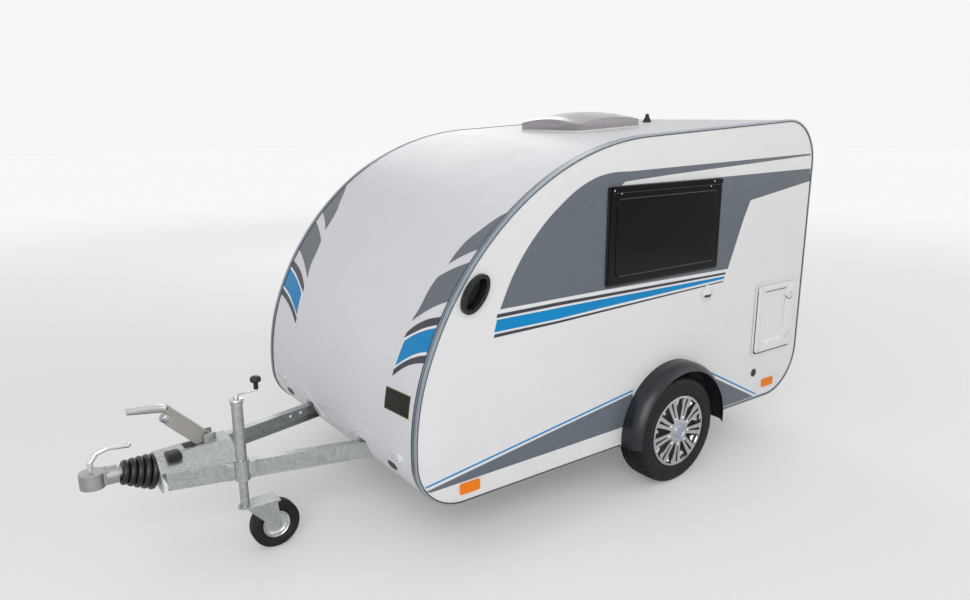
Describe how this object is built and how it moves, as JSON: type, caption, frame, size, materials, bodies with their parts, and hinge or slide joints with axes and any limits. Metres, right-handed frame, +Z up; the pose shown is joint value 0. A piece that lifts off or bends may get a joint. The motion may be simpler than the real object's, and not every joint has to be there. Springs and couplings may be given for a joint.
{
  "type": "travel caravan",
  "caption": "Small teardrop travel caravan: hollow body, entrance door, service hatch, A-frame drawbar with ball coupling, jockey wheel, road wheels and corner steadies.",
  "frame": {"origin": "on the floor under the middle of the whole caravan", "axes": "+X forwards along the drawbar, +Y to the left, +Z up"},
  "size_m": [3.855, 1.812, 1.9004],
  "materials": {
    "body_white": "gloss",
    "floor_board": "matte",
    "edge_trim": "satin",
    "black_plastic": "satin",
    "dark_glass": "gloss",
    "white_plastic": "satin",
    "clear_lamp": "gloss",
    "orange_lamp": "gloss",
    "red_lamp": "gloss",
    "smoke_dome": "gloss",
    "galvanised": "satin",
    "black_rubber": "matte",
    "coupling_metal": "satin",
    "bright_metal": "polished",
    "tyre_rubber": "matte",
    "rim_paint": "satin",
    "trim_silver": "satin"
  },
  "bodies": {
    "caravan": {"side_panel_left": "body_white", "side_panel_right": "body_white", "front_roof_shell": "body_white", "rear_shell": "body_white", "floor": "floor_board", "edge_trims": "edge_trim", "wheel_housings": "black_plastic", "window_frames": "black_plastic", "window_panes": "dark_glass", "door_frame": "edge_trim", "hatch_frame": "white_plastic", "porthole_rings": "black_plastic", "side_fittings": "white_plastic", "marker_lamps": "clear_lamp", "access_covers": "black_plastic", "side_reflectors": "orange_lamp", "rear_lamps": "red_lamp", "plate_holder": "black_plastic", "roof_vent_frame": "white_plastic", "roof_vent_dome": "smoke_dome", "roof_cap": "black_plastic", "mudguard_left": "black_plastic", "mudguard_right": "black_plastic", "drawbar_left": "galvanised", "drawbar_right": "galvanised", "chassis_rails": "galvanised", "axle_beam": "galvanised", "overrun_housing": "galvanised", "bellows": "black_rubber", "coupling_head": "coupling_metal", "coupling_handle": "bright_metal", "jockey_tube": "galvanised", "jockey_crank": "galvanised", "steady_mounts": "galvanised"},
    "wheel_left": {"tyre_left": "tyre_rubber", "wheel_left": "rim_paint", "wheel_trim_left": "trim_silver"},
    "wheel_right": {"tyre_right": "tyre_rubber", "wheel_right": "rim_paint", "wheel_trim_right": "trim_silver"},
    "door": {"entrance_door": "body_white", "door_window": "dark_glass", "door_handle": "black_plastic"},
    "service_hatch": {"hatch_door": "white_plastic"},
    "handbrake": {"handbrake_lever": "galvanised"},
    "jockey_leg": {"jockey_inner_tube": "galvanised"},
    "jockey_swivel_fork": {"jockey_fork": "galvanised"},
    "jockey_wheel": {"jockey_tyre": "tyre_rubber", "jockey_rim": "rim_paint"},
    "steady_leg_front_left": {"steady_front_left": "galvanised"},
    "steady_leg_front_right": {"steady_front_right": "galvanised"},
    "steady_leg_rear_left": {"steady_rear_left": "galvanised"},
    "steady_leg_rear_right": {"steady_rear_right": "galvanised"}
  },
  "joints": [
    {"name": "wheel_left_spin", "type": "hinge", "parent": "caravan", "child": "wheel_left", "pos_m": [-0.7225, 0.8115, 0.285], "axis": [0, 1, 0], "continuous": true},
    {"name": "wheel_right_spin", "type": "hinge", "parent": "caravan", "child": "wheel_right", "pos_m": [-0.7225, -0.8115, 0.285], "axis": [0, 1, 0], "continuous": true},
    {"name": "door_hinge", "type": "hinge", "parent": "caravan", "child": "door", "pos_m": [0.3055, -0.809, 0.93], "axis": [0, 0, 1], "range_deg": [0, 105]},
    {"name": "service_hatch_hinge", "type": "hinge", "parent": "caravan", "child": "service_hatch", "pos_m": [-1.497, 0.805, 0.73], "axis": [0, 0, -1], "range_deg": [0, 120]},
    {"name": "handbrake_hinge", "type": "hinge", "parent": "caravan", "child": "handbrake", "pos_m": [1.4025, 0, 0.5], "axis": [0, -1, 0], "range_deg": [0, 50]},
    {"name": "jockey_lift", "type": "slide", "parent": "caravan", "child": "jockey_leg", "axis": [0, 0, 1], "range_m": [0, 0.1]},
    {"name": "jockey_swivel", "type": "hinge", "parent": "jockey_leg", "child": "jockey_swivel_fork", "pos_m": [1.3295, 0.218, 0.23], "axis": [0, 0, 1], "continuous": true},
    {"name": "jockey_wheel_spin", "type": "hinge", "parent": "jockey_swivel_fork", "child": "jockey_wheel", "pos_m": [1.2045, 0.218, 0.11], "axis": [0, 1, 0], "continuous": true},
    {"name": "steady_front_left_hinge", "type": "hinge", "parent": "caravan", "child": "steady_leg_front_left", "pos_m": [0.1575, 0.57, 0.385], "axis": [0, 1, 0], "range_deg": [0, 66]},
    {"name": "steady_front_right_hinge", "type": "hinge", "parent": "caravan", "child": "steady_leg_front_right", "pos_m": [0.1575, -0.57, 0.385], "axis": [0, 1, 0], "range_deg": [0, 66]},
    {"name": "steady_rear_left_hinge", "type": "hinge", "parent": "caravan", "child": "steady_leg_rear_left", "pos_m": [-1.1975, 0.665, 0.385], "axis": [0, -1, 0], "range_deg": [0, 66]},
    {"name": "steady_rear_right_hinge", "type": "hinge", "parent": "caravan", "child": "steady_leg_rear_right", "pos_m": [-1.1975, -0.665, 0.385], "axis": [0, -1, 0], "range_deg": [0, 66]}
  ]
}
